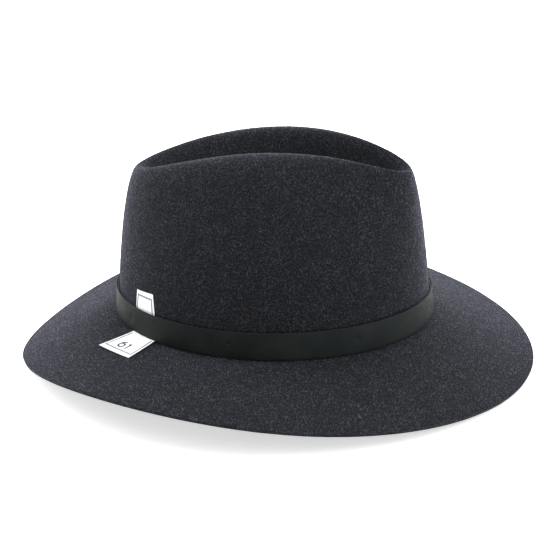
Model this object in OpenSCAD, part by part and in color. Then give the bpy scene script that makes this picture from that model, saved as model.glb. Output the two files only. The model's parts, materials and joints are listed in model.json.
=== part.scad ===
// Wool felt fedora with a leather band, a reeded sweatband and a satin lining.
// Front of the hat is +X, the wearer's left is +Y and up is +Z. The origin is on
// the table under the middle of the head oval. Angles run round the head oval
// from the front, so 90 is the wearer's left and 180 is the back.

/* [Head] */
// Head circumference that the hat is made for
head_size = 610; // [590:1:630]
// Length of the head oval over its width
oval_ratio = 1.25; // [1.22:0.01:1.28]

/* [Felt] */
// Thickness of the felt
felt_t = 2.2; // [1.8:0.1:2.4]
// Radius of the bend where the crown meets the brim
foot_bend = 2; // [1.6:0.1:2.4]
// Height of the crown's foot above the table
foot_height = 31.1; // [31:0.1:38]
// How much higher the crown's foot stands at the ends than at the sides
foot_wave = 0.8; // [0:0.1:2]

/* [Brim] */
// Mean width of the brim, seen from above
brim_w = 73.3; // [66:0.1:78]
// Extra width of the brim at the front, against the back
brim_w_front = 0.5; // [0:0.1:2]
// Extra width of the brim at the sides, against the ends
brim_w_side = 2.2; // [0:0.1:4]
// Extra width of the brim at the front corners
brim_w_corner = 0.7; // [0:0.1:1.5]
// Mean drop of the brim's edge below the crown's foot
brim_drop = 19.4; // [12:0.1:22]
// Extra drop at the front, against the back
brim_drop_front = 4; // [0:0.1:5]
// Extra drop at both ends, against the sides
brim_drop_ends = 10.5; // [4:0.1:12]
// How much sooner the brim turns down towards the back
brim_drop_back = 4; // [0:0.1:5]
// Small lift of the brim's edge between the sides and the ends
brim_drop_quarter = 0.9; // [0:0.1:2]
// How the drop is spread over the brim, where 1 is a straight slope
brim_curl = 1.12; // [1:0.01:1.3]

/* [Crown] */
// Height of the ridges above the foot, at the middle of the hat
crown_h = 120.4; // [112:0.1:124]
// Mean height of the ridges above the foot
ridge_h = 111; // [104:0.1:114]
// Extra height of the ridges at the front, against the back
ridge_h_front = 3.1; // [0:0.1:5]
// Half the length of the loop that the two ridges make
ridge_len = 96.7; // [92:0.1:98]
// How far the loop sits ahead of the head oval's middle
ridge_ahead = 1.5; // [0:0.1:4]
// Mean half width between the two ridges
ridge_half_w = 40.7; // [36:0.1:44]
// How much the ridges close towards the front
ridge_taper = 9.9; // [6:0.1:12]
// How much wider the loop is at its ends than an oval
ridge_square = 5.1; // [3:0.1:6]
// Depth of the crease's floor below the ridges at the middle
crease_depth = 31.4; // [24:0.1:36]
// Half the length of the crease's floor
crease_len = 72; // [66:1:76]
// Half the width of the crease's floor
crease_half_w = 4; // [3:0.5:6]
// Depth of the two finger hollows beside the front of the crease
hollow_depth = 4; // [0:0.5:6]

/* [Band] */
// Height of the leather band
band_h = 16.4; // [14:0.1:20]
// Thickness of the leather band
band_t = 1.6; // [1.2:0.1:2]
// Height of the band's lower edge above the crown's foot
band_lift = 1.7; // [1.6:0.1:2.5]
// Length of the overlap that joins the band's two ends
band_overlap = 26; // [20:1:34]
// Number of tack stitches that hold the band to the felt
tack_count = 8; // [6:1:10]

/* [Sweatband] */
// Width of the sweatband
sweat_h = 54; // [48:1:58]
// Thickness of the sweatband's leather
sweat_t = 0.9; // [0.7:0.1:1.1]
// Room between the sweatband and the felt
sweat_gap = 1.7; // [1.6:0.1:2.2]
// Diameter of the reed along the sweatband's lower edge
reed_d = 1.6; // [1.2:0.1:1.8]
// Height of the cloth tape that carries the reed
tape_h = 9; // [7:0.5:12]

/* [Lining] */
// Height of the lining's flat tip above the crown's foot
tip_h = 79; // [72:1:80]
// Thickness of the satin
satin_t = 0.4; // [0.3:0.1:0.5]

/* [Ticket] */
// Angle round the oval where the ticket is tucked in
ticket_at = 231.1; // [215:0.1:245]
// Turn of the ticket's crease about the vertical, from square to the band
ticket_turn = 3.5; // [0:0.5:4]
// How far the top of the ticket leans towards the back
ticket_lean = 1.2; // [0:0.1:2]
// Width of the ticket at its top
ticket_top_w = 18.3; // [16:0.1:24]
// Width of the ticket at its crease
ticket_crease_w = 24.3; // [20:0.1:26]
// Width of the ticket at its lower end
ticket_end_w = 31.5; // [28:0.1:38]
// Length of the flap that lies on the brim
ticket_flap_len = 25.5; // [22:0.1:32]
// How far the ticket stands above the band
ticket_rise = 13.5; // [8:0.1:18]
// Thickness of the card
card_t = 0.2; // [0.15:0.01:0.22]

/* [Hidden] */

around = 72;
step = 360 / around;
band_gap = 0.6;
thread_d = 0.6;
air = 0.08;
left_side = 90;
back = 180;

charcoal = [0.15, 0.15, 0.17];
band_green = [0.14, 0.15, 0.15];
thread_black = [0.05, 0.05, 0.06];
card_white = [0.93, 0.93, 0.94];
sweat_black = [0.10, 0.09, 0.09];
satin_grey = [0.22, 0.22, 0.25];

// ---- Head oval -----------------------------------------------------------

// Half width and half length of the oval with the head's circumference
half_w = head_size / (PI * (3 * (oval_ratio + 1)
    - sqrt((3 * oval_ratio + 1) * (oval_ratio + 3))));
half_l = half_w * oval_ratio;
foot_out = sweat_t + sweat_gap + felt_t;

function unit(v) = v / norm(v);
function flat(v) = [v[0], v[1], 0];

// Level direction straight out of the oval at angle a
function out(a) = unit([cos(a) / half_l, sin(a) / half_w, 0]);

// Point at angle a, d outside the oval, at height z
function oval(a, d, z) = [half_l * cos(a), half_w * sin(a), z] + d * out(a);

// Point at part s of the curve with the four control points p
function bezier(p, s) = pow(1 - s, 3) * p[0] + 3 * pow(1 - s, 2) * s * p[1]
    + 3 * (1 - s) * s * s * p[2] + pow(s, 3) * p[3];

// ---- Upper face of the felt ------------------------------------------------

function foot_z(a) = foot_height + foot_wave * cos(2 * a);

function brim_w_at(a) = brim_w + brim_w_front * cos(a) - brim_w_side * cos(2 * a)
    + brim_w_corner * cos(3 * a);

function edge_z(a) = foot_height + band_lift - brim_drop - brim_drop_front * cos(a)
    - brim_drop_ends * cos(2 * a) + brim_drop_back * cos(3 * a)
    - brim_drop_quarter * cos(4 * a);

// Brim at distance d out from the crown's foot
function brim(a, d) = let (part = d / brim_w_at(a))
    oval(a, foot_out + d, foot_z(a) + (edge_z(a) - foot_z(a)) * pow(part, brim_curl));

ridge_tips = 1;

// Top line of the two ridges, which meet at the front and at the back
function ridge(a) = [
    ridge_ahead + ridge_len * cos(a),
    (ridge_half_w - ridge_taper * cos(a) + ridge_square * cos(2 * a)) * sin(a),
    foot_height + band_lift + ridge_h + ridge_h_front * cos(a)
        - (crown_h - ridge_h) * cos(2 * a) - ridge_tips * cos(3 * a)];

wall_slope = 0.057;
wall_stretch = 0.587;
round_side = 23.9;
round_end = 3.9;

// Control points of the crown's wall, from its foot up to the ridge
function wall_frame(a) = let (
        foot = oval(a, foot_out - wall_slope * foot_bend, foot_z(a) + foot_bend),
        top = ridge(a),
        rise = wall_stretch * (top[2] - foot[2]),
        away = unit(flat(oval(a, foot_out, 0) - top)),
        arm = round_end + (round_side - round_end) * pow(sin(a), 2))
    [foot, foot - wall_slope * rise * out(a) + [0, 0, rise], top + arm * away, top];

hollow_at = 48;
hollow_spread = 20;
hollow_high = 0.72;
hollow_rise = 0.2;

// Finger hollow beside the crease, at part s of the wall
function hollow(a, s) = let (off = abs(a > 180 ? a - 360 : a) - hollow_at)
    hollow_depth * exp(-pow(off / hollow_spread, 2))
        * exp(-pow((s - hollow_high) / hollow_rise, 2));

function wall(a, s) = bezier(wall_frame(a), s) - hollow(a, s) * out(a);

// Floor of the crease
function crease_floor(a) = [crease_len * cos(a), crease_half_w * sin(a),
    foot_height + band_lift + crown_h - crease_depth];

fall_side = 12;
fall_end = 8;
floor_reach = 0.45;

// Crease's wall, from the ridge down to its floor
function crease(a, s) = let (
        top = ridge(a),
        low = crease_floor(a),
        way = flat(low - top),
        arm = fall_end + (fall_side - fall_end) * pow(sin(a), 2))
    bezier([top, top + arm * unit(way), low - floor_reach * way, low], s);

bend_arm = 0.6 * foot_bend;

// Bend between the brim and the wall
function foot_curve(a, s) = let (
        low = brim(a, foot_bend),
        top = wall(a, 0))
    bezier([low, low - bend_arm * out(a), top - [0, 0, bend_arm], top], s);

brim_rows = 12;
bend_rows = 3;
wall_rows = 14;
crease_rows = 8;

function felt_row(f) = [for (j = [0:around - 1]) f(j * step)];

felt_outer = concat(
    [for (i = [0:brim_rows - 1])
        let (part = 1 - i / (brim_rows - 1))
        felt_row(function (a) brim(a, foot_bend + (brim_w_at(a) - foot_bend) * part))],
    [for (i = [1:bend_rows]) felt_row(function (a) foot_curve(a, i / bend_rows))],
    [for (i = [1:wall_rows]) felt_row(function (a) wall(a, i / wall_rows))],
    [for (i = [1:crease_rows]) felt_row(function (a) crease(a, i / crease_rows))]);

// Direction out of a grid's face at row i and column j
function grid_normal(g, i, j) = let (
        last = len(g) - 1,
        n = len(g[0]),
        along = g[i][(j + 1) % n] - g[i][(j + n - 1) % n],
        up = g[min(i + 1, last)][j] - g[max(i - 1, 0)][j])
    unit(cross(along, up));

function grid_inside(g, t) = [for (i = [0:len(g) - 1])
    [for (j = [0:len(g[0]) - 1]) g[i][j] - t * grid_normal(g, i, j)]];

// ---- Solids from grids of points ---------------------------------------------

function joined(lists) = [for (l = lists) each l];

// Strip of faces that closes a ring of n points starting at index s
function ring_cap(s, n, up) = [for (j = [0:n / 2 - 1])
    let (
        b = s + (n - j) % n,
        c = s + n - j - 1,
        quad = j == 0 ? [s, s + 1, c] : j == n / 2 - 1 ? [s + j, s + j + 1, b]
            : [s + j, s + j + 1, c, b])
    up ? [for (k = [len(quad) - 1:-1:0]) quad[k]] : quad];

// Closed skin between two grids of rings, outside first, both ending in a cap
module shell(top, under) {
    rows = len(top);
    n = len(top[0]);
    size = rows * n;
    polyhedron(
        points = concat(joined(top), joined(under)),
        faces = concat(
            [for (i = [0:rows - 2], j = [0:n - 1]) let (k = (j + 1) % n)
                [i * n + j, (i + 1) * n + j, (i + 1) * n + k, i * n + k]],
            [for (i = [0:rows - 2], j = [0:n - 1]) let (k = (j + 1) % n)
                [size + i * n + j, size + i * n + k, size + (i + 1) * n + k,
                    size + (i + 1) * n + j]],
            [for (j = [0:n - 1]) let (k = (j + 1) % n) [j, k, size + k, size + j]],
            ring_cap(size - n, n, true),
            ring_cap(2 * size - n, n, false)),
        convexity = 8);
}

// Strip of faces over a loop of m points starting at index s, whose first and
// last points face each other
function end_cap(s, m, far) = [for (k = [0:m / 2 - 2])
    let (quad = [s + k, s + k + 1, s + m - 2 - k, s + m - 1 - k])
    far ? quad : [quad[3], quad[2], quad[1], quad[0]]];

// Solid through a list of cross-sections, each a loop of points that runs
// inside-low, outside-low, outside-high, inside-high
module sweep(sections, closed) {
    n = len(sections);
    m = len(sections[0]);
    spans = closed ? n : n - 1;
    polyhedron(
        points = joined(sections),
        faces = concat(
            [for (i = [0:spans - 1], k = [0:m - 1])
                let (i2 = (i + 1) % n, k2 = (k + 1) % m)
                [i * m + k, i * m + k2, i2 * m + k2, i2 * m + k]],
            closed ? [] : end_cap(0, m, false),
            closed ? [] : end_cap((n - 1) * m, m, true)),
        convexity = 8);
}

// ---- Places against the crown's wall ----------------------------------------------

// Part of the wall curve that is h above the foot, found by halving
function wall_part(a, h, low = 0, high = 1, turns = 14) = let (mid = (low + high) / 2)
    turns == 0 ? mid
    : wall(a, mid)[2] < foot_z(a) + h ? wall_part(a, h, mid, high, turns - 1)
    : wall_part(a, h, low, mid, turns - 1);

// Point h above the foot and d outside the felt's outer face
function skin(a, h, d) = h < foot_bend
    ? oval(a, foot_out - wall_slope * max(h, 0) + d, foot_z(a) + h)
    : wall(a, wall_part(a, h)) + d * out(a);

// Cross-section of a sheet from depth d0 to d1 over the heights in the list hs
function sheet(a, hs, d0, d1) = concat(
    [for (k = [len(hs) - 1:-1:0]) skin(a, hs[k], d0)],
    [for (h = hs) skin(a, h, d1)]);

// Heights from low to high in equal steps
function levels(low, high, count) = [for (k = [0:count]) low + (high - low) * k / count];

// Cross-section of a round cord of diameter d centred at h and depth c
function cord(a, h, c, d, sides) = [for (k = [0:sides - 1])
    let (turn = -135 + 360 * k / sides)
    skin(a, h, c) + d / 2 * (cos(turn) * out(a) + [0, 0, sin(turn)])];

// Places children on the wall: X runs round the hat, Y out and Z up
module on_wall(a, h, d) {
    face = out(a);
    translate(skin(a, h, d))
        rotate([0, 0, atan2(face[1], face[0]) - 90])
            children();
}

// Short stitch lying along X
module stitch(length, d = thread_d) {
    translate([-length / 2, 0, 0]) rotate([0, 90, 0]) cylinder(h = length, d = d, $fn = 16);
    for (side = [-1, 1]) translate([side * length / 2, 0, 0]) sphere(d = d, $fn = 16);
}

// ---- Felt and band -----------------------------------------------------------

module felt_body() {
    color(charcoal) shell(felt_outer, grid_inside(felt_outer, felt_t));
}

// Angle round the oval that an arc of the given length covers at the wearer's side
function side_angle(length) = length / (half_l + foot_out) * 180 / PI;

overlap_angle = side_angle(band_overlap);
band_start = left_side - overlap_angle / 2;
band_turn = 360 + overlap_angle;
band_steps = around + 8;
lap_lift = band_t + 0.1;
lap_ramp = overlap_angle * 0.8;
edge_h = 0.5;
edge_t = band_t * 0.7;

// How far the band stands off the felt after turning through w
function band_off(w) = let (part = max(0, min(1, (w - 360 + lap_ramp) / lap_ramp)))
    band_gap + lap_lift * part * part * (3 - 2 * part);

function band_section(w) = let (
        a = (band_start + w) % 360,
        d = band_off(w),
        low = band_lift,
        high = band_lift + band_h)
    [skin(a, low, d), skin(a, low, d + edge_t), skin(a, low + edge_h, d + band_t),
        skin(a, high - edge_h, d + band_t), skin(a, high, d + edge_t), skin(a, high, d)];

module hat_band() {
    color(band_green)
        sweep([for (i = [0:band_steps]) band_section(i * band_turn / band_steps)], false);
}

lap_stitches = 6;
lap_stitch_len = 1.4;

module band_join_stitches() {
    pitch = band_h / (lap_stitches + 1);
    color(thread_black)
        for (column = [0.25, 0.75], k = [1:lap_stitches])
            on_wall(band_start + overlap_angle * column, band_lift + k * pitch,
                band_off(360) + band_t + thread_d / 2 + air)
                rotate([0, 90, 0]) stitch(lap_stitch_len);
}

tack_from = 43;
tack_len = 1.6;

module band_tack_stitches() {
    color(thread_black)
        for (a = [tack_from:360 / tack_count:359])
            if (abs(a - left_side) > overlap_angle)
                on_wall(a, band_lift + band_h / 2, band_gap + band_t + thread_d / 2 + air)
                    stitch(tack_len);
}

// ---- Size ticket ----------------------------------------------------------------

crease_h = 0.8;
crease_out = 0.5;
crease_away = band_gap + band_t + crease_out;
ticket_mid = out(ticket_at);
ticket_way = [-sin(ticket_turn) * ticket_mid[0] - cos(ticket_turn) * ticket_mid[1],
    cos(ticket_turn) * ticket_mid[0] - sin(ticket_turn) * ticket_mid[1], 0];
crease_mid = skin(ticket_at, crease_h, crease_away);
crease_half = ticket_crease_w / 2 * ticket_way;

// Angle round the oval at a distance along the ticket's width from its middle
function ticket_angle(across) = ticket_at + across / norm(
    oval(ticket_at + 1, foot_out, 0) - oval(ticket_at, foot_out, 0));

ticket_columns = 6;
ticket_top = band_lift + band_h + ticket_rise;
ticket_top_tilt = 0.65;
tab_near = 0.18;
// Heights above the foot and distances from the felt where the tab bends out
tab_bend = [[1.9, tab_near], [1.05, 0.48], [0.75, 0.85]];
tab_bend_top = 1.2;

// Cross-section of the tab: down behind the band, under it and out to the crease.
// part runs from -1 to 1 across the ticket.
function tab_section(part) = let (
        low_a = ticket_angle(part * ticket_crease_w / 2),
        top_a = ticket_angle(part * ticket_top_w / 2 - ticket_lean),
        mid_a = (low_a + top_a) / 2,
        top_h = ticket_top + part * ticket_top_tilt,
        band_hs = [band_lift + band_h, band_lift + band_h / 2],
        far = tab_near + card_t,
        up = [0, 0, card_t],
        end = crease_mid + part * crease_half,
        shelf = skin(low_a, tab_bend[2][0], tab_bend[2][1]))
    [skin(top_a, top_h, tab_near), skin(mid_a, band_hs[0], tab_near),
        skin(mid_a, band_hs[1], tab_near), skin(low_a, tab_bend[0][0], tab_near),
        skin(low_a, tab_bend[1][0], tab_bend[1][1]), shelf, end, end + up, shelf + up,
        skin(low_a, tab_bend_top, tab_bend[1][1] + card_t),
        skin(low_a, tab_bend[0][0], far), skin(mid_a, band_hs[1], far),
        skin(mid_a, band_hs[0], far), skin(top_a, top_h, far)];

module size_ticket_tab() {
    color(card_white)
        sweep([for (k = [0:ticket_columns]) tab_section(2 * k / ticket_columns - 1)], false);
}

flap_clear = 0.16;
flap_lift = 0.9;
flap_fall = brim(ticket_at, crease_away + ticket_flap_len)[2] + flap_lift - crease_mid[2];
flap_out = unit(ticket_flap_len * [ticket_way[1], -ticket_way[0], 0] + [0, 0, flap_fall]);

// Cross-section of the flap, from the crease to its end
function flap_section(part) = let (
        near = crease_mid + flap_clear * flap_out + part * crease_half,
        far = crease_mid + ticket_flap_len * flap_out + part * ticket_end_w / 2 * ticket_way,
        up = card_t * cross(flap_out, ticket_way))
    [near, far, far + up, near + up];

module size_ticket_flap() {
    color(card_white) sweep([flap_section(-1), flap_section(1)], false);
}

// ---- Sweatband ----------------------------------------------------------------------

sweat_low = -0.2;
sweat_in = sweat_t + sweat_gap + felt_t;
seam_half = side_angle(1);

function leather_section(a) =
    sheet(a, levels(sweat_low, sweat_low + sweat_h, 5), -sweat_in, sweat_t - sweat_in);

module sweatband() {
    turn = 360 - 2 * seam_half;
    color(sweat_black)
        sweep([for (i = [0:around])
            leather_section((back + seam_half + i * turn / around) % 360)], false);
}

seam_tape_w = 12;
seam_tape_t = 0.25;
seam_tape_low = 2;
seam_tape_short = 4;

// Cloth tape behind the back seam of the sweatband
module sweatband_seam_tape() {
    reach = side_angle(seam_tape_w / 2);
    inner = 2 * air + sweat_t - sweat_in;
    hs = levels(seam_tape_low, sweat_h - seam_tape_short, 5);
    color(sweat_black)
        sweep([for (k = [-3:3])
            sheet(back + k / 3 * reach, hs, inner, inner + seam_tape_t)], false);
}

zigzag_count = 14;
zigzag_margin = 3;
zigzag_slant = 35;
zigzag_len = 3.2;
zigzag_d = 0.5;

// Zigzag thread that draws the two ends of the sweatband together
module sweatband_seam_thread() {
    pitch = (sweat_h - 2 * zigzag_margin) / zigzag_count;
    color(thread_black)
        for (k = [0:zigzag_count - 1])
            on_wall(back, sweat_low + zigzag_margin + (k + 0.5) * pitch,
                -sweat_in - thread_d / 2 - 2 * air)
                rotate([0, (k % 2 == 0 ? 1 : -1) * zigzag_slant, 0])
                    stitch(zigzag_len, zigzag_d);
}

bow_high = 44;
bow_half = 9;
bow_ribbon = 5;
bow_t = 0.5;
bow_off = 2.9;
loop_start = 0.04 * bow_half;
loop_half_t = 1.5;
knot_w = 2.6;
knot_t = 2.4;
knot_proud = 0.4;
knot_lap = 0.01;

// Edge of one loop of the bow, drawn along X in its own plane
function bow_loop(part) = [
    (bow_half + loop_start - (bow_half - loop_start) * cos(360 * part)) / 2,
    loop_half_t * sin(360 * part)];

// Small flat ribbon bow at the top of the back seam, inside the hat
module sweatband_bow() {
    color(thread_black)
        on_wall(back, bow_high, -sweat_in - bow_off)
            for (side = [0, 1])
                mirror([side, 0, 0]) {
                    translate([knot_w / 2, 0, -bow_ribbon / 2])
                        linear_extrude(height = bow_ribbon)
                            difference() {
                                polygon([for (k = [0:23]) bow_loop(k / 24)]);
                                offset(delta = -bow_t) polygon([for (k = [0:23])
                                    bow_loop(k / 24)]);
                            }
                    translate([-knot_lap, -knot_t / 2, -bow_ribbon / 2 - knot_proud])
                        cube([knot_w / 2 + knot_proud, knot_t, bow_ribbon + 2 * knot_proud]);
                }
}

reed_h = -1.3;
reed_in = 1.15 - sweat_in;

// Springy plastic reed that keeps the sweatband's lower edge round
module sweatband_reed() {
    color(sweat_black)
        sweep([for (i = [0:around - 1]) cord(i * step, reed_h, reed_in, reed_d, 8)], true);
}

reed_tape_gap = 0.55;
reed_tape_t = 0.3;

// Cloth tape that carries the reed and is sewn to the felt
module reed_tape() {
    inner = sweat_t - sweat_in + reed_tape_gap;
    color(thread_black)
        sweep([for (i = [0:around - 1])
            sheet(i * step, [sweat_low, tape_h], inner, inner + reed_tape_t)], true);
}

stitch_pitch = 5;
stitch_high = 2.2;
stitch_len = 2.6;
stitch_d = 0.4;

// Row of stitches along the sweatband's lower edge
module sweatband_stitches() {
    count = floor(head_size / stitch_pitch);
    color(thread_black)
        for (k = [1:count - 1])
            on_wall((back + k * 360 / count) % 360, sweat_low + stitch_high,
                -sweat_in - stitch_d / 2 - 2 * air)
                stitch(stitch_len, stitch_d);
}

// ---- Lining ---------------------------------------------------------------------------

lining_in = -felt_t - 0.35;
lining_low = 11;
tip_rim = 1.6;

// Side of the satin lining, between the sweatband and the crown
module lining_side() {
    color(satin_grey)
        sweep([for (i = [0:around - 1])
            sheet(i * step, levels(lining_low, tip_h - tip_rim, 6),
                lining_in - satin_t, lining_in)], true);
}

tip_rows = 5;
tip_sag = 2.5;
tip_gap = 2.6;
tip_middle = [0.66, 0.2];

// Point of the tip's lower face on ring i, counted from its rim. The last ring
// shrinks to the shares of the rim in tip_middle.
function tip_point(a, i) = let (
        rim = skin(a, tip_h, lining_in - satin_t - tip_gap),
        mid = [rim[0] * tip_middle[0], rim[1] * tip_middle[1], rim[2] - tip_sag],
        part = i / tip_rows)
    [rim[0] + (mid[0] - rim[0]) * part, rim[1] + (mid[1] - rim[1]) * part,
        rim[2] - tip_sag * sin(90 * part)];

// Oval satin tip under the top of the crown
module lining_tip() {
    under = [for (i = [0:tip_rows]) felt_row(function (a) tip_point(a, i))];
    top = [for (ring = under) [for (p = ring) p + [0, 0, satin_t]]];
    color(satin_grey) shell(top, under);
}

piping_d = 2;
piping_up = 0.1;
piping_in = 1.3;

// Corded seam between the lining's side and its tip
module lining_piping() {
    color(satin_grey)
        sweep([for (i = [0:around - 1])
            cord(i * step, tip_h + piping_up, lining_in - satin_t - piping_in,
                piping_d, 6)], true);
}

lining_tack_count = 12;
lining_tack_high = 2.5;
lining_tack_len = 2;
lining_tack_d = 0.36;

// Tacks that hold the lining's lower edge to the felt
module lining_tacks() {
    color(thread_black)
        for (k = [0:lining_tack_count - 1])
            on_wall((k + 0.5) * 360 / lining_tack_count, lining_low + lining_tack_high,
                lining_in - satin_t - lining_tack_d / 2 - 2 * air)
                stitch(lining_tack_len, lining_tack_d);
}

label_w = 26;
label_high = [62, 74];
label_at = back - 24;
label_gap = 0.25;
label_t = 0.3;

// Blank satin care label sewn to the lining at the back
module care_label() {
    reach = side_angle(label_w / 2);
    inner = lining_in - satin_t - label_gap;
    hs = levels(label_high[0], label_high[1], 3);
    color(card_white)
        sweep([for (k = [-3:3])
            sheet(label_at + k / 3 * reach, hs, inner - label_t, inner)], false);
}

felt_body();
hat_band();
band_join_stitches();
band_tack_stitches();
size_ticket_tab();
size_ticket_flap();
sweatband();
sweatband_seam_tape();
sweatband_seam_thread();
sweatband_bow();
sweatband_reed();
reed_tape();
sweatband_stitches();
lining_side();
lining_tip();
lining_piping();
lining_tacks();
care_label();
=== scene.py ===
"""Looks for the felt fedora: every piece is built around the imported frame, in metres.

Front of the hat is +X, the wearer's left is +Y and up is +Z. The photograph shows
the wearer's right side.
"""

import json
import math

import bmesh
import bpy
import numpy as np
from mathutils import Matrix, Vector, noise
from mathutils.bvhtree import BVHTree


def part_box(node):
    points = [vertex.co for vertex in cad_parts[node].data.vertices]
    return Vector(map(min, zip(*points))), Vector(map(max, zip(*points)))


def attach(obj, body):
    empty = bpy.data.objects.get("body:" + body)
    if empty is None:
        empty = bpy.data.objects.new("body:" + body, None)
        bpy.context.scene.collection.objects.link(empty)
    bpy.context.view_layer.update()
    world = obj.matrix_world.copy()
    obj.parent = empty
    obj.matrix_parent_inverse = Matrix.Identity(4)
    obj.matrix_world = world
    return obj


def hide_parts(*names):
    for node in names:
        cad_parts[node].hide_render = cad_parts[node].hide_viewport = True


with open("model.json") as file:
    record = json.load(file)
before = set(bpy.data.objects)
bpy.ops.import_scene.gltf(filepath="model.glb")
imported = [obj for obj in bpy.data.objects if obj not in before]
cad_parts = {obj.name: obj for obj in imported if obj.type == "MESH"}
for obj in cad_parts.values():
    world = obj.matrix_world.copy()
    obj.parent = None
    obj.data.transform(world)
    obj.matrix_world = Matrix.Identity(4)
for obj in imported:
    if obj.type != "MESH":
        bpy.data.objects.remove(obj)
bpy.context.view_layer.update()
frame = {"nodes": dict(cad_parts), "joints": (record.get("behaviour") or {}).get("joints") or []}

MM = 0.001
HAT = "hat"
FLAP = "ticket_flap"
RNG = np.random.default_rng(61)
CAGE_PUSH = 1.2
MERGE = 0.002 * MM


# ---- Meshes from the frame ---------------------------------------------------


def node_bmesh(node):
    """The CAD node as one closed mesh of quads where its triangles pair up."""
    bm = bmesh.new()
    bm.from_mesh(frame["nodes"][node].data)
    bmesh.ops.remove_doubles(bm, verts=bm.verts, dist=MERGE)
    bmesh.ops.join_triangles(
        bm,
        faces=bm.faces,
        cmp_seam=False,
        cmp_sharp=False,
        cmp_uvs=False,
        cmp_vcols=False,
        cmp_materials=False,
        angle_face_threshold=math.radians(70),
        angle_shape_threshold=math.radians(80),
    )
    return bm


def new_object(name, mesh):
    obj = bpy.data.objects.new(name, mesh)
    bpy.context.scene.collection.objects.link(obj)
    return obj


def from_bmesh(name, bm):
    mesh = bpy.data.meshes.new(name)
    bm.normal_update()
    bm.to_mesh(mesh)
    bm.free()
    mesh.shade_smooth()
    return new_object(name, mesh)


def apply_modifiers(obj):
    """Turns the object's modifiers into mesh."""
    graph = bpy.context.evaluated_depsgraph_get()
    mesh = bpy.data.meshes.new_from_object(obj.evaluated_get(graph), depsgraph=graph)
    obj.modifiers.clear()
    obj.data = mesh
    mesh.shade_smooth()
    return obj


def subdivision(obj, levels):
    modifier = obj.modifiers.new("smooth", "SUBSURF")
    modifier.levels = levels
    modifier.render_levels = levels


def subdivided(obj, levels):
    """Smooths the mesh with subdivision and keeps it at its first size.

    Subdivision pulls corners in, so the cage is first pushed out by as much.
    """
    cage = positions(obj.data)
    subdivision(obj, 1)
    graph = bpy.context.evaluated_depsgraph_get()
    pulled = positions(obj.evaluated_get(graph).data)[: len(cage)]
    obj.modifiers.clear()
    set_positions(obj.data, cage + CAGE_PUSH * (cage - pulled))
    subdivision(obj, levels)
    return apply_modifiers(obj)


def crease_sharp(bm, degrees):
    """Marks edges sharper than an angle so that subdivision keeps them."""
    layer = bm.edges.layers.float.get("crease_edge")
    layer = layer or bm.edges.layers.float.new("crease_edge")
    for edge in bm.edges:
        if len(edge.link_faces) == 2 and edge.calc_face_angle() > math.radians(degrees):
            edge[layer] = 1.0


def positions(mesh):
    co = np.empty(len(mesh.vertices) * 3)
    mesh.vertices.foreach_get("co", co)
    return co.reshape(-1, 3)


def normals(mesh):
    no = np.empty(len(mesh.vertices) * 3)
    mesh.vertices.foreach_get("normal", no)
    return no.reshape(-1, 3)


def set_positions(mesh, co):
    mesh.vertices.foreach_set("co", np.asarray(co, float).ravel())
    mesh.update()


def push_along_normals(mesh, depth):
    """Moves each vertex along its normal by its own depth in metres."""
    set_positions(mesh, positions(mesh) + normals(mesh) * np.asarray(depth)[:, None])


def noise_at(points, size):
    """Smooth noise from -1 to 1 with features of the given size, at each point."""
    return np.array([noise.noise(Vector(p) / size) for p in points])


def finish_piece(obj, material, body=HAT, replaces=()):
    """Gives a piece its material, its body and the CAD nodes that it stands for."""
    obj.data.materials.clear()
    obj.data.materials.append(material)
    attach(obj, body)
    if replaces:
        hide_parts(*replaces)
    return obj


# ---- Materials ---------------------------------------------------------------


def linear(r, g, b):
    """An sRGB colour in 0 to 255 as Blender's linear colour."""
    values = [c / 255 for c in (r, g, b)]
    return [
        c / 12.92 if c <= 0.04045 else ((c + 0.055) / 1.055) ** 2.4 for c in values
    ] + [1.0]


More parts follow.
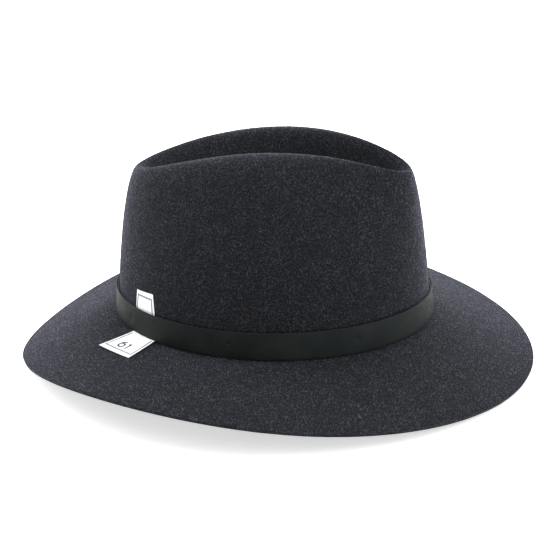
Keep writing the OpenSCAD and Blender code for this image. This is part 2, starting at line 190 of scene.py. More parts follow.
class Shader:
    """A node material, with short calls for the nodes that these materials share."""

    def __init__(self, name, roughness=0.6, specular=0.3):
        self.material = bpy.data.materials.new(name)
        self.material.use_nodes = True
        self.tree = self.material.node_tree
        self.surface = self.tree.nodes["Principled BSDF"]
        self.set("Roughness", roughness)
        self.set("Specular IOR Level", specular)
        self.place = self.node("ShaderNodeTexCoord").outputs["Object"]

    def node(self, kind, **settings):
        made = self.tree.nodes.new(kind)
        for key, value in settings.items():
            setattr(made, key, value)
        return made

    def feed(self, socket, value):
        if isinstance(value, bpy.types.NodeSocket):
            self.tree.links.new(value, socket)
        else:
            socket.default_value = value

    def set(self, name, value):
        self.feed(self.surface.inputs[name], value)

    def noise(self, size, detail=2.0, rough=0.5, stretch=(1, 1, 1), turn=(0, 0, 0)):
        """Noise from 0 to 1 with features of the given size in metres."""
        mapping = self.node("ShaderNodeMapping")
        self.feed(mapping.inputs["Vector"], self.place)
        mapping.inputs["Scale"].default_value = stretch
        mapping.inputs["Rotation"].default_value = turn
        made = self.node("ShaderNodeTexNoise")
        self.feed(made.inputs["Vector"], mapping.outputs["Vector"])
        made.inputs["Scale"].default_value = 1 / size
        made.inputs["Detail"].default_value = detail
        made.inputs["Roughness"].default_value = rough
        return made.outputs["Fac"]

    def cells(self, size, feature="F1"):
        """Distance to the nearest of scattered points that lie size apart."""
        made = self.node("ShaderNodeTexVoronoi", feature=feature)
        self.feed(made.inputs["Vector"], self.place)
        made.inputs["Scale"].default_value = 1 / size
        return made.outputs["Distance"]

    def ramp(self, value, low, high, to_low=0.0, to_high=1.0):
        """Maps value from low..high to to_low..to_high and clamps it."""
        made = self.node("ShaderNodeMapRange")
        for name, v in (
            ("Value", value),
            ("From Min", low),
            ("From Max", high),
            ("To Min", to_low),
            ("To Max", to_high),
        ):
            self.feed(made.inputs[name], v)
        return made.outputs["Result"]

    def math(self, operation, a, b=0.0):
        made = self.node("ShaderNodeMath", operation=operation)
        self.feed(made.inputs[0], a)
        self.feed(made.inputs[1], b)
        return made.outputs[0]

    def mix(self, share, a, b):
        made = self.node("ShaderNodeMix", data_type="RGBA")
        self.feed(made.inputs["Factor"], share)
        self.feed(made.inputs[6], a)
        self.feed(made.inputs[7], b)
        return made.outputs[2]

    def attribute(self, name, output="Fac"):
        return self.node("ShaderNodeAttribute", attribute_name=name).outputs[output]

    def bump(self, height, depth, strength=1.0):
        """Adds relief of the given depth in metres to the surface."""
        made = self.node("ShaderNodeBump")
        made.inputs["Strength"].default_value = strength
        made.inputs["Distance"].default_value = depth
        self.feed(made.inputs["Height"], height)
        self.set("Normal", made.outputs["Normal"])


def wool_felt():
    """Charcoal wool felt: a fine melange of dark, violet and teal fibres with a nap."""
    felt = Shader("wool_felt", roughness=0.92, specular=0.08)
    body = felt.noise(0.8 * MM, detail=3, rough=0.75)
    fibre_a = felt.noise(0.8 * MM, detail=2, stretch=(1, 0.4, 0.8), turn=(0.3, 0.2, 0.7))
    fibre_b = felt.noise(0.85 * MM, detail=2, stretch=(0.45, 1, 0.9), turn=(0.9, 0.4, 0.1))
    tint = felt.noise(2.4 * MM, detail=2)
    cloud = felt.noise(9 * MM, detail=3, rough=0.6)
    base = felt.mix(felt.ramp(body, 0.34, 0.62), linear(5, 5, 6), linear(32, 33, 36))
    base = felt.mix(felt.ramp(tint, 0.5, 0.64, 0, 0.4), base, linear(30, 23, 29))
    base = felt.mix(felt.ramp(tint, 0.5, 0.38, 0, 0.4), base, linear(17, 32, 34))
    pale = felt.ramp(cloud, 0.35, 0.65, 0.45, 0.9)
    strand_a = felt.math("MULTIPLY", felt.ramp(fibre_a, 0.53, 0.7), pale)
    strand_b = felt.math("MULTIPLY", felt.ramp(fibre_b, 0.55, 0.72), pale)
    base = felt.mix(strand_a, base, linear(66, 71, 75))
    base = felt.mix(strand_b, base, linear(54, 53, 61))
    fine = felt.noise(0.4 * MM, detail=2, stretch=(1, 0.5, 0.7), turn=(0.7, 0.1, 0.4))
    base = felt.mix(felt.ramp(fine, 0.56, 0.36, 0, 0.55), base, linear(8, 8, 9))
    felt.set("Base Color", base)
    strands = felt.math("ADD", strand_a, strand_b)
    shine = felt.math("ADD", felt.ramp(body, 0.36, 0.64, 0.0, 0.16), strands)
    felt.set("Sheen Weight", felt.ramp(shine, 0.0, 1.0, 0.1, 0.75))
    felt.set("Sheen Roughness", 0.4)
    felt.set("Sheen Tint", linear(190, 191, 218))
    relief = felt.math("ADD", felt.math("MULTIPLY", body, 0.6), fibre_a)
    relief = felt.math("ADD", relief, felt.math("MULTIPLY", fine, 0.5))
    felt.bump(relief, 0.35 * MM, 0.6)
    return felt.material


def band_leather():
    """Smooth matte green-black leather with a fine grain, paler cut edges and painted shade in the
    tack dimples.
    """
    hide = Shader("band_leather", specular=0.1)
    grain = hide.cells(0.75 * MM, "SMOOTH_F1")
    crease = hide.noise(4 * MM, detail=4, rough=0.6, stretch=(0.5, 0.5, 1))
    cloud = hide.noise(22 * MM, detail=2)
    base = hide.mix(hide.ramp(cloud, 0.35, 0.65), linear(21, 24, 23), linear(28, 31, 30))
    base = hide.mix(hide.ramp(crease, 0.55, 0.75, 0, 0.3), base, linear(36, 41, 41))
    base = hide.mix(hide.attribute("cut_edge"), base, linear(52, 66, 70))
    # Painted shade: the colour goes near black inside the dimples that the tack stitches pull into
    # the band.
    base = hide.mix(hide.attribute("dimple_shade"), base, linear(9, 10, 11))
    hide.set("Base Color", base)
    hide.set("Specular Tint", linear(232, 243, 247))
    hide.set("Roughness", hide.ramp(crease, 0.3, 0.7, 0.46, 0.6))
    hide.bump(hide.math("ADD", grain, hide.math("MULTIPLY", crease, 0.8)), 0.08 * MM, 0.4)
    return hide.material


def sweat_leather():
    """Thin black sweatband leather, a little glossier, with a pebbled grain."""
    hide = Shader("sweat_leather", specular=0.4)
    grain = hide.cells(1.1 * MM, "SMOOTH_F1")
    pores = hide.noise(0.5 * MM, detail=3)
    cloud = hide.noise(18 * MM, detail=3)
    base = hide.mix(hide.ramp(cloud, 0.35, 0.7), linear(40, 34, 31), linear(62, 54, 49))
    base = hide.mix(hide.ramp(grain, 0.0, 0.35, 0.35, 0), base, linear(22, 19, 18))
    hide.set("Base Color", base)
    hide.set("Roughness", hide.ramp(cloud, 0.3, 0.7, 0.42, 0.58))
    hide.bump(hide.math("ADD", grain, hide.math("MULTIPLY", pores, 0.4)), 0.12 * MM, 0.5)
    return hide.material


def cloth(name, dark, light, pitch, roughness=0.75, sheen=0.2):
    """Plain woven cloth whose threads cross at the given pitch, in metres."""
    weave = Shader(name, roughness=roughness, specular=0.2)
    wave = []
    for axis in ("X", "Z"):
        made = weave.node("ShaderNodeTexWave", bands_direction=axis)
        weave.feed(made.inputs["Vector"], weave.place)
        made.inputs["Scale"].default_value = 0.314 / pitch
        made.inputs["Distortion"].default_value = 0.6
        wave.append(made.outputs["Fac"])
    both = weave.math("MULTIPLY", wave[0], wave[1])
    wear = weave.noise(9 * MM, detail=3)
    base = weave.mix(both, linear(*dark), linear(*light))
    base = weave.mix(weave.ramp(wear, 0.4, 0.7, 0, 0.35), base, linear(*dark))
    weave.set("Base Color", base)
    weave.set("Sheen Weight", sheen)
    weave.bump(both, 0.1 * MM, 0.5)
    return weave.material


def satin(name, dark, light):
    """Satin: fine even threads, a soft sheen along the weave and faint creasing."""
    silk = Shader(name, specular=0.5)
    thread = silk.noise(0.35 * MM, detail=2, stretch=(1, 0.06, 1))
    fold = silk.noise(14 * MM, detail=3, rough=0.6)
    base = silk.mix(silk.ramp(thread, 0.35, 0.7), linear(*dark), linear(*light))
    base = silk.mix(silk.ramp(fold, 0.4, 0.7, 0, 0.25), base, linear(*dark))
    silk.set("Base Color", base)
    silk.set("Roughness", silk.ramp(thread, 0.3, 0.7, 0.3, 0.42))
    silk.set("Anisotropic", 0.6)
    silk.set("Sheen Weight", 0.3)
    silk.bump(silk.math("ADD", thread, silk.math("MULTIPLY", fold, 3.0)), 0.1 * MM, 0.3)
    return silk.material


def thread_material(name, dark, light):
    """Waxed thread with the slant of its twist."""
    yarn = Shader(name, roughness=0.6, specular=0.15)
    twist = yarn.noise(0.22 * MM, detail=2, stretch=(1, 1, 0.5), turn=(0.6, 0.5, 0.4))
    yarn.set("Base Color", yarn.mix(twist, linear(*dark), linear(*light)))
    yarn.set("Sheen Weight", 0.3)
    yarn.bump(twist, 0.06 * MM, 0.6)
    return yarn.material


def reed_plastic():
    """Flexible extruded plastic with faint draw lines."""
    reed = Shader("reed_plastic", roughness=0.45, specular=0.4)
    lines = reed.noise(0.5 * MM, detail=2, stretch=(0.1, 0.1, 1))
    reed.set("Base Color", reed.mix(lines, linear(20, 20, 21), linear(40, 40, 42)))
    reed.bump(lines, 0.04 * MM, 0.4)
    return reed.material


def card_stock():
    """Uncoated white card with a little pulp in it."""
    card = Shader("card_stock", roughness=0.7, specular=0.25)
    pulp = card.noise(0.7 * MM, detail=3, rough=0.7)
    tone = card.noise(9 * MM, detail=2)
    base = card.mix(card.ramp(pulp, 0.3, 0.7), linear(240, 243, 244), linear(250, 252, 252))
    base = card.mix(card.ramp(tone, 0.4, 0.7, 0, 0.3), base, linear(236, 240, 242))
    card.set("Base Color", base)
    card.bump(pulp, 0.03 * MM, 0.35)
    return card.material


def ink(name, dark, light):
    """Printing ink that lets a little of the paper's pulp through."""
    print_ink = Shader(name, roughness=0.6, specular=0.2)
    pulp = print_ink.noise(0.5 * MM, detail=3)
    base = print_ink.mix(print_ink.ramp(pulp, 0.4, 0.8), linear(*dark), linear(*light))
    print_ink.set("Base Color", base)
    return print_ink.material


# ---- Felt --------------------------------------------------------------------

RIM_ROUND = 0.45 * MM
OVAL_RATIO = 1.25
FIBRES = 150000
NAP_ROOM = 2.2 * MM
STRAY_SHARE = 0.003
FIBRE_RADIUS = [0.026, 0.024, 0.02, 0.015, 0.006]


def felt_piece(material):
    """One piece of blocked felt, crown and brim, with the small unevenness of felt."""
    bm = node_bmesh("felt_body")
    rim = [e for e in bm.edges if e.calc_face_angle(0) > math.radians(60)]
    bmesh.ops.bevel(bm, geom=rim, offset=RIM_ROUND, segments=2, profile=0.5, affect="EDGES")
    felt = subdivided(from_bmesh("blocked_felt", bm), 2)
    co = positions(felt.data)
    swell = 0.11 * noise_at(co, 24 * MM) + 0.06 * noise_at(co, 5 * MM)
    swell += 0.04 * noise_at(co, 1.9 * MM)
    push_along_normals(felt.data, (swell - 0.05) * MM)
    return finish_piece(felt, material, replaces=["felt_body"])


def surface_samples(obj, count):
    """Evenly scattered points on a mesh, with the surface normal at each."""
    mesh = obj.data
    mesh.calc_loop_triangles()
    corners = np.array([t.vertices[:] for t in mesh.loop_triangles])
    co = positions(mesh)
    a, b, c = co[corners[:, 0]], co[corners[:, 1]], co[corners[:, 2]]
    cross = np.cross(b - a, c - a)
    area = np.linalg.norm(cross, axis=1)
    pick = RNG.choice(len(area), size=count, p=area / area.sum())
    u, v = RNG.random(count), RNG.random(count)
    flip = u + v > 1
    u[flip], v[flip] = 1 - u[flip], 1 - v[flip]
    points = a[pick] + (b - a)[pick] * u[:, None] + (c - a)[pick] * v[:, None]
    return points, cross[pick] / area[pick, None]


def unit_rows(v):
    return v / np.linalg.norm(v, axis=1)[:, None]


def nap_material():
    """Single wool fibres, mostly dark, with a few pale ones."""
    fibre = Shader("wool_fibre", roughness=0.7, specular=0.15)
    tone = fibre.attribute("tone")
    base = fibre.mix(fibre.ramp(tone, 0.35, 0.95), linear(14, 14, 15), linear(78, 79, 86))
    base = fibre.mix(fibre.ramp(tone, 1.0, 1.1), base, linear(158, 158, 162))
    fibre.set("Base Color", base)
    return fibre.material


def covered(points, nodes, room):
    """True for the points that lie closer than room to one of the CAD nodes."""
    found = np.zeros(len(points), bool)
    for node in nodes:
        bm = node_bmesh(node)
        tree = BVHTree.FromBMesh(bm)
        bm.free()
        low, high = (np.array(c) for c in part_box(node))
        near = np.all((points > low - room) & (points < high + room), axis=1)
        for i in np.flatnonzero(near):
            found[i] |= tree.find_nearest(Vector(points[i]), room)[0] is not None
    return found


def felt_nap(felt):
    """Short fibres that stand off the felt. They are hairs, so they add no faces."""
    points, up = surface_samples(felt, FIBRES)
    hidden = ["hat_band", "size_ticket_tab", "size_ticket_flap", "sweatband", "lining_side"]
    bare = ~covered(points, hidden, NAP_ROOM) & (points[:, 2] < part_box("lining_tip")[1].z)
    outside = np.hypot(points[:, 0] / OVAL_RATIO, points[:, 1]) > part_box("sweatband")[1].y
    high = points[:, 2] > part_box("lining_tip")[1].z
    keep = (bare & outside) | (high & (up[:, 2] > -0.2))
    points, up = points[keep], up[keep]
    count = len(points)
    side = unit_rows(np.cross(up, RNG.normal(size=points.shape)))
    stray = RNG.random(count) < STRAY_SHARE
    length = np.where(stray, RNG.uniform(1.6, 3.6, count), RNG.uniform(0.4, 1.5, count)) * MM
    lift = np.where(stray, RNG.uniform(0.05, 0.3, count), RNG.uniform(0.08, 0.65, count))
    curl = RNG.uniform(-0.4, 0.2, count) * lift
    bend = RNG.uniform(-0.5, 0.5, count)
    steps = np.linspace(0, 1, 5)
    hairs = bpy.data.hair_curves.new("felt_nap")
    hairs.add_curves([len(steps)] * count)
    across = np.cross(up, side)
    track = np.empty((count, len(steps), 3))
    for k, s in enumerate(steps):
        rise = (lift * s + curl * s * s) * length
        sway = (bend * s * s * length)[:, None] * across
        track[:, k] = points + side * (s * length)[:, None] + up * rise[:, None] + sway
    hairs.position_data.foreach_set("vector", track.ravel())
    radius = hairs.attributes.new("radius", "FLOAT", "POINT")
    radius.data.foreach_set("value", np.tile(FIBRE_RADIUS, count) * MM)
    tone = hairs.attributes.new("tone", "FLOAT", "CURVE")
    tone.data.foreach_set("value", np.where(stray, 1.2, RNG.random(count)))
    hairs.materials.append(nap_material())
    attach(new_object("felt_nap", hairs), HAT)


# ---- Band, sweatband and lining ----------------------------------------------

DIMPLE_R = 1.9 * MM
DIMPLE_DEPTH = 0.8 * MM
SEAM_REACH = 1.0 * MM


def soft_copy(node, name, levels, sharp=50):
    """A smoother copy of a CAD node whose hard edges stay crisp."""
    bm = node_bmesh(node)
    crease_sharp(bm, sharp)
    return subdivided(from_bmesh(name, bm), levels)


def add_attribute(mesh, name, values):
    made = mesh.attributes.new(name, "FLOAT", "POINT")
    made.data.foreach_set("value", np.asarray(values, float))


def islands(node):
    """The corner points of each separate solid in a CAD node."""
    bm = bmesh.new()
    bm.from_mesh(frame["nodes"][node].data)
    bmesh.ops.remove_doubles(bm, verts=bm.verts, dist=MERGE)
    found, seen = [], set()
    for start in bm.verts:
        if start in seen:
            continue
        group, stack = [], [start]
        seen.add(start)
        while stack:
            vert = stack.pop()
            group.append(vert.co[:])
            for edge in vert.link_edges:
                other = edge.other_vert(vert)
                if other not in seen:
                    seen.add(other)
                    stack.append(other)
        found.append(np.array(group))
    bm.free()
    return found


def hat_band(material):
    """Leather strip whose tack stitches pull small dimples into it."""
    bm = node_bmesh("hat_band")
    crease_sharp(bm, 70)
    band = subdivided(from_bmesh("leather_band", bm), 3)
    mesh = band.data
    co, no = positions(mesh), normals(mesh)
    out = unit_rows(co * [1 / 1.5, 1, 0])
    facing = np.clip((no * out).sum(1), 0, 1)
    sink = np.zeros(len(co))
    for tack in islands("band_tack_stitches"):
        gap = np.linalg.norm(co - tack.mean(0), axis=1)
        sink = np.maximum(sink, np.exp(-((gap / DIMPLE_R) ** 2)))
    ripple = 0.07 * noise_at(co, 16 * MM) - 0.07
    depth = -DIMPLE_DEPTH * sink * facing + ripple * MM * facing
    set_positions(mesh, co + no * depth[:, None])
    up = np.clip(np.abs(no[:, 2]) * 1.6 - 0.7, 0, 1)
    add_attribute(mesh, "cut_edge", up)
    # Mask of painted shade for the tack dimples, strongest where the band faces outwards.
    add_attribute(mesh, "dimple_shade", np.clip(sink * 1.6 - 0.75, 0, 1) * facing)
    return finish_piece(band, material, replaces=["hat_band"])


def sweatband(material):
    """Leather sweatband with a slightly wavy free edge at its top."""
    band = soft_copy("sweatband", "leather_sweatband", 2)
    low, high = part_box("sweatband")
    co = positions(band.data)
    free = np.clip((co[:, 2] - low.z) / (high.z - low.z), 0, 1) ** 2
    turn = np.arctan2(co[:, 1], co[:, 0])
    wave = 0.5 + 0.5 * np.sin(7 * turn + 0.6) * np.cos(3 * turn)
    inward = -unit_rows(co * [1, 1, 0])
    shift = (free * wave * 0.9 * MM)[:, None] * inward
    set_positions(band.data, co + shift)
    return finish_piece(band, material, replaces=["sweatband"])


def lining_side(material):
    """Satin wall of the lining, gathered towards the seam at its top."""
    side = soft_copy("lining_side", "satin_side", 2)
    low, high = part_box("lining_side")
    co = positions(side.data)
    turn = np.arctan2(co[:, 1], co[:, 0])
    share = (co[:, 2] - low.z) / (high.z - low.z)
    fold = 0.5 + 0.5 * np.sin(44 * turn + 2.2 * np.sin(5 * turn))
    drape = 0.5 + 0.5 * noise_at(co * [1, 1, 0.35], 20 * MM)
    inward = -unit_rows(co * [1, 1, 0])
    open_part = np.sin(np.pi * np.clip(share, 0, 1))
    depth = fold * 1.1 * open_part * (0.3 + 0.7 * share) + drape * 1.6 * open_part
    low, high = (np.array(p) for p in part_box("care_label"))
    gap = np.linalg.norm(co - (low + high) / 2, axis=1) / np.linalg.norm(high - low)
    depth *= np.clip(gap * 2 - 1, 0, 1)
    co = co + inward * (depth * MM)[:, None]
    co[:, 2] += np.clip(share * 8 - 7, 0, 1) * SEAM_REACH
    set_positions(side.data, co)
    return finish_piece(side, material, replaces=["lining_side"])


def lining_tip(material):
    """Satin tip of the lining, puckered where the piping gathers it."""
    tip = soft_copy("lining_tip", "satin_tip", 2)
    low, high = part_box("lining_tip")
    co = positions(tip.data)
    half = [(high.x - low.x) / 2, (high.y - low.y) / 2]
    mid = [(high.x + low.x) / 2, (high.y + low.y) / 2]
    reach = np.hypot((co[:, 0] - mid[0]) / half[0], (co[:, 1] - mid[1]) / half[1])
    turn = np.arctan2(co[:, 1] / half[1], (co[:, 0] - mid[0]) / half[0])
    pucker = np.sin(52 * turn + 1.5 * np.sin(4 * turn)) * np.clip(reach - 0.72, 0, 1) / 0.28
    sag = 0.5 * noise_at(co, 38 * MM) - 0.5
    inner = np.clip(1.06 - reach, 0, 1)
    co[:, 2] += (0.45 * pucker * inner * 6 + 2.0 * sag * inner) * MM
    set_positions(tip.data, co)
    return finish_piece(tip, material, replaces=["lining_tip"])


# ---- Stitches ----------------------------------------------------------------

THREAD_RINGS = 15
THREAD_SINK = 0.35 * MM


class Solids:
    """Collects closed tubes into one mesh."""

    def __init__(self):
        self.points, self.faces = [], []

    def tube(self, track, radii, side, up, sides=6):
        """A closed tube along a track, whose rings lie in the plane of side and up."""
        start = len(self.points)
        turns = [2 * math.pi * k / sides for k in range(sides)]
        for p, r in zip(track, radii):
            for t in turns:
                self.points.append(p + r * (math.cos(t) * side + math.sin(t) * up))
        rings = len(track)
        for i in range(rings - 1):
            for k in range(sides):
                a, b = start + i * sides + k, start + i * sides + (k + 1) % sides
                self.faces.append((a, b, b + sides, a + sides))
        self.faces.append(tuple(start + k for k in reversed(range(sides))))
        last = start + (rings - 1) * sides
        self.faces.append(tuple(last + k for k in range(sides)))

    def object(self, name):
        mesh = bpy.data.meshes.new(name)
        mesh.from_pydata([tuple(p) for p in self.points], [], self.faces)
        mesh.shade_smooth()
        return new_object(name, mesh)


def unit(v):
    return v / np.linalg.norm(v)


def twisted_thread(solids, start, end, away, thick):
    """Two-ply thread over a stitch, whose ends dive into the surface under it."""
    along = unit(end - start)
    away = unit(away - along * (away @ along))
    cross = np.cross(along, away)
    share = np.linspace(0, 1, THREAD_RINGS)
    dive = np.clip(np.abs(share - 0.5) * 2 - 0.6, 0, 1) / 0.4
    for ply in (0, math.pi):
        turn = ply + share * np.linalg.norm(end - start) / thick * 1.5
        track, radii = [], []
        for s, d, t in zip(share, dive, turn):
            centre = start + (end - start) * s - away * THREAD_SINK * d * d
            ring = thick * 0.22 * (math.cos(t) * cross + math.sin(t) * away)
            track.append(centre + ring)
            radii.append(thick * 0.3)
        solids.tube(track, radii, cross, away)


def stitches(node, name, host, material, lower=0.0):
    """Twisted thread in place of each plain bar of a CAD node of stitches."""
    bm = node_bmesh(host)
    tree = BVHTree.FromBMesh(bm)
    bm.free()
    solids = Solids()
    for points in islands(node):
        centre = points.mean(0)
        spread = points - centre
        axis = np.linalg.svd(spread, full_matrices=False)[2][0]
        reach = spread @ axis
        thick = np.ptp(spread @ np.linalg.svd(spread, full_matrices=False)[2][2])
        nearest = np.array(tree.find_nearest(Vector(centre))[0])
        away = unit(centre - nearest)
        centre = centre - away * lower
        low, high = reach.min() + thick / 2, reach.max() - thick / 2
        twisted_thread(solids, centre + axis * low, centre + axis * high, away, thick)
    return finish_piece(solids.object(name), material, replaces=[node])


# ---- Size ticket -------------------------------------------------------------

BORDER_SIDE = 1.8 * MM
BORDER_END = 4.0 * MM
BORDER_START = 0.5 * MM
BORDER_LINE = 1.15 * MM
BORDER_PITCH = 1.5 * MM
DIGIT_H = 8.0 * MM
DIGIT_STROKE = 1.3 * MM
DIGIT_PITCH = 6.0 * MM
DIGIT_OUT = 15.2 * MM
PRINT_LIFT = 0.02 * MM
PRINT_REACH = 8 * MM
CARD_T = 0.2 * MM
FLAP_CURL = 0.5 * MM
TAB_SHOWN = 12 * MM


def crease_frame():
    """Hinge point, direction along the crease and direction out along the flap."""
    joint = next(j for j in frame["joints"] if j["name"] == "ticket_crease")
    pivot = np.array(joint["pos_m"])
    across = -unit(np.array(joint["axis"]))
    flap = np.array([v.co for v in frame["nodes"]["size_ticket_flap"].data.vertices])
    out = flap.mean(0) - pivot
    out = unit(out - across * (out @ across))
    return pivot, across, out


def card_sheet(name, rows, thick, face):
    """Closed thin card through a grid of points. face is the printed side at each point."""
    grid = np.array(rows)
    n_row, n_col = grid.shape[:2]
    top = (grid + np.array(face) * thick / 2).reshape(-1, 3)
    under = (grid - np.array(face) * thick / 2).reshape(-1, 3)
    size = len(top)
    faces = []
    for i in range(n_row - 1):
        for j in range(n_col - 1):
            a, b = i * n_col + j, i * n_col + j + 1
            c, d = b + n_col, a + n_col
            faces.append((a, b, c, d))
            faces.append((size + d, size + c, size + b, size + a))
    ring = list(range(n_col))
    ring += [i * n_col + n_col - 1 for i in range(1, n_row)]
    ring += [(n_row - 1) * n_col + j for j in reversed(range(n_col - 1))]
    ring += [i * n_col for i in reversed(range(1, n_row - 1))]
    for a, b in zip(ring, ring[1:] + ring[:1]):
        faces.append((b, a, size + a, size + b))
    mesh = bpy.data.meshes.new(name)
    mesh.from_pydata([tuple(p) for p in np.vstack([top, under])], [], faces)
    mesh.update()
    return new_object(name, mesh)


class Print:
    """Collects printed strokes as thin closed strips that lie on a card."""

    def __init__(self, card, away):
        graph = bpy.context.evaluated_depsgraph_get()
        self.tree = BVHTree.FromObject(card, graph)
        self.away = unit(away)
        self.points, self.faces = [], []

    def on_card(self, point, lift):
        start = Vector(point + self.away * PRINT_REACH)
        hit = self.tree.ray_cast(start, Vector(-self.away))[0]
        hit = np.array(point if hit is None else hit)
        return hit + self.away * lift

    def stroke(self, path, width):
        """A strip of even width along a path, with mitred corners."""
        path = [np.asarray(p) for p in path]
        start = len(self.points)
        last = len(path) - 1
        for k, p in enumerate(path):
            before, after = p - path[max(k - 1, 0)], path[min(k + 1, last)] - p
            ways = [unit(step) for step in (before, after) if np.linalg.norm(step) > 0]
            way = unit(sum(ways))
            side = unit(np.cross(self.away, way))
            reach = width / 2 / max(0.5, way @ ways[0])
            for edge, lift in ((1, 1), (-1, 1), (-1, -1), (1, -1)):
                self.points.append(self.on_card(p + side * edge * reach, lift * PRINT_LIFT))
        for k in range(last):
            a = start + 4 * k
            for j in range(4):
                b, c = a + j, a + (j + 1) % 4
                self.faces.append((b, c, c + 4, b + 4))
        end = start + 4 * last
        self.faces.append((start + 3, start + 2, start + 1, start))
        self.faces.append((end, end + 1, end + 2, end + 3))

    def object(self, name):
        mesh = bpy.data.meshes.new(name)
        mesh.from_pydata([tuple(p) for p in self.points], [], self.faces)
        mesh.update()
        bm = bmesh.new()
        bm.from_mesh(mesh)
        bmesh.ops.recalc_face_normals(bm, faces=bm.faces)
        bm.to_mesh(mesh)
        bm.free()
        return new_object(name, mesh)


def even_path(corners, pitch):
    """Points at an even pitch along the straight lines between corners."""
    path = []
    for a, b in zip(corners, corners[1:]):
        count = max(1, round(np.linalg.norm(b - a) / pitch))
        path += [a + (b - a) * k / count for k in range(count)]
    return path + [corners[-1]]


def ticket_flap(card, border_ink, digit_ink):
    """The flap of the ticket, slightly curled, with its border and size number."""
    pivot, across, out = crease_frame()
    face = unit(np.cross(out, across))
    if face[2] < 0:
        face = -face
    corners = np.array([v.co for v in frame["nodes"]["size_ticket_flap"].data.vertices]) - pivot
    reach, width, height = corners @ out, corners @ across, corners @ face
    near, far = reach.min(), reach.max()
    near_w, far_w = np.ptp(width[reach < (near + far) / 2]) / 2, np.ptp(width) / 2
    level = (height.min() + height.max()) / 2
    rows = []
    for s in np.linspace(0, 1, 29):
        half = near_w + (far_w - near_w) * s
        line = []
        for t in np.linspace(-1, 1, 33):
            lift = FLAP_CURL * (s**2.2 * (0.25 + 0.75 * t * t) - 0.22 * s * (1 - s))
            point = out * (near + (far - near) * s) + across * half * t
            line.append(pivot + point + face * (level + lift))
        rows.append(line)
    sides = np.broadcast_to(face, (len(rows), len(rows[0]), 3))
    flap = card_sheet("ticket_flap_card", rows, CARD_T, sides)
    finish_piece(flap, card, FLAP, ["size_ticket_flap"])

    def place(x, y):
        """Point on the flap at x along the crease and y out from it."""
        return pivot + across * x + out * y

    def half_at(y):
        return near_w + (far_w - near_w) * (y - near) / (far - near)

    marks = Print(flap, face)
    start, end = near + BORDER_START, far - BORDER_END
    border = [
        place(BORDER_SIDE - half_at(start), start),
        place(BORDER_SIDE - half_at(end), end),
        place(half_at(end) - BORDER_SIDE, end),
        place(half_at(start) - BORDER_SIDE, start),
    ]
    marks.stroke(even_path(border, BORDER_PITCH), BORDER_LINE)
    finish_piece(marks.object("ticket_flap_border"), border_ink, FLAP)
    digits = Print(flap, face)
    for path in size_digits():
        digits.stroke([place(x, DIGIT_OUT - y) for x, y in path], DIGIT_STROKE)
    finish_piece(digits.object("ticket_size_number"), digit_ink, FLAP)


def size_digits():
    """Strokes of the number 61, with x to the reader's right and y up from its middle."""
    bowl = 0.29 * DIGIT_H
    tall = DIGIT_H - DIGIT_STROKE
    low = -tall / 2
    six_x, one_x = -DIGIT_PITCH / 2, DIGIT_PITCH / 2
    ring = [
        (six_x + bowl * math.cos(t), low + bowl + bowl * math.sin(t))
        for t in np.linspace(0.9 * math.pi, 2.9 * math.pi, 25)
    ]
    tail_top = (six_x + bowl * 0.45, low + tall)
    tail_low = ring[0]
    tail = [
        (
            tail_top[0] + (tail_low[0] - tail_top[0]) * math.sin(s * math.pi / 2),
            tail_top[1] + (tail_low[1] - tail_top[1]) * (1 - math.cos(s * math.pi / 2)),
        )
        for s in np.linspace(0, 1, 10)
    ]
    one = [(one_x, low), (one_x, low + tall)]
    flag = [(one_x, low + tall - 0.3 * DIGIT_STROKE), (one_x - 0.19 * DIGIT_H, low + 0.8 * tall)]
    return [tail[:-1] + ring, one, flag]


def ticket_tab(card, border_ink):
    """The part of the ticket behind the band, with the border near its top."""
    tab = soft_copy("size_ticket_tab", "ticket_tab_card", 3, sharp=40)
    finish_piece(tab, card, replaces=["size_ticket_tab"])
    pivot, across, out = crease_frame()
    away = unit(out * [1, 1, 0])
    co = positions(tab.data)
    band_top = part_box("hat_band")[1].z
    x = (co - pivot) @ across
    top = co[:, 2].max()
    foot_row = np.abs(co[:, 2] - (top - TAB_SHOWN)) < 1.2 * MM
    top_row = co[:, 2] > top - 1.0 * MM
    low_half, top_half = np.ptp(x[foot_row]) / 2, np.ptp(x[top_row]) / 2
    lean = (low_half - top_half) / TAB_SHOWN
    middle = (x[top_row].max() + x[top_row].min()) / 2
    shelf = co[top_row].mean(0)

    def place(x_at, down):
        """Point on the tab at x_at along its width and down from its top."""
        base = shelf + across * (middle + x_at - (shelf - pivot) @ across)
        return np.array([base[0], base[1], top - down])

    def half_at(down):
        return top_half + lean * down - BORDER_SIDE

    low = min(top - band_top + 3 * MM, 15 * MM)
    border = [
        place(-half_at(low), low),
        place(-half_at(BORDER_END), BORDER_END),
        place(half_at(BORDER_END), BORDER_END),
        place(half_at(low), low),
    ]
    marks = Print(tab, away)
    marks.stroke(even_path(border, BORDER_PITCH), BORDER_LINE)
    finish_piece(marks.object("ticket_tab_border"), border_ink)


# ---- Small soft pieces -------------------------------------------------------


def wavy_piece(node, name, material, levels, wave, size, sharp=50):
    """A CAD piece with smoothed faces and a slight unevenness of the given depth."""
    piece = soft_copy(node, name, levels, sharp)
    co = positions(piece.data)
    push_along_normals(piece.data, wave * (noise_at(co, size) - 0.5))
    return finish_piece(piece, material, replaces=[node])


BOW_T = 0.35 * MM
BOW_ROWS = 41
BOW_COLUMNS = 9


